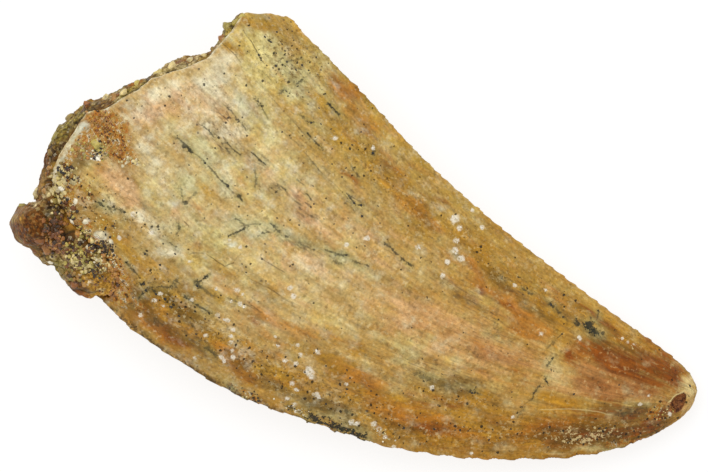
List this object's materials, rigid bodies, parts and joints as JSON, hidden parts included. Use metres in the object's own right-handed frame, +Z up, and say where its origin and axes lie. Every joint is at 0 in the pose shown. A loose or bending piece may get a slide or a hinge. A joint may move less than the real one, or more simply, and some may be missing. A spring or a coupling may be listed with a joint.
{
  "type": "fossil raptor tooth",
  "caption": "Curved, side-flattened fossil tooth with two finely serrated edges, a chipped tip and cemented sand in its broken base, lying on its side",
  "frame": {"origin": "on the floor plane, under the middle of the bounding box", "axes": "+X from the broken base to the tip, +Y to the distal (inner, upper in the picture) serrated edge, +Z up through the flat of the blade, out of the face that the picture shows"},
  "size_m": [0.0238, 0.0124, 0.0049],
  "materials": {
    "tooth_enamel": "worn, half-glossy fossil enamel, cream to ochre with dark mineral streaks and specks",
    "cemented_sand": "rough cemented sand with brown, olive and white grains"
  },
  "bodies": {
    "root": {"tooth": "tooth_enamel", "sand_matrix": "cemented_sand"}
  },
  "joints": []
}
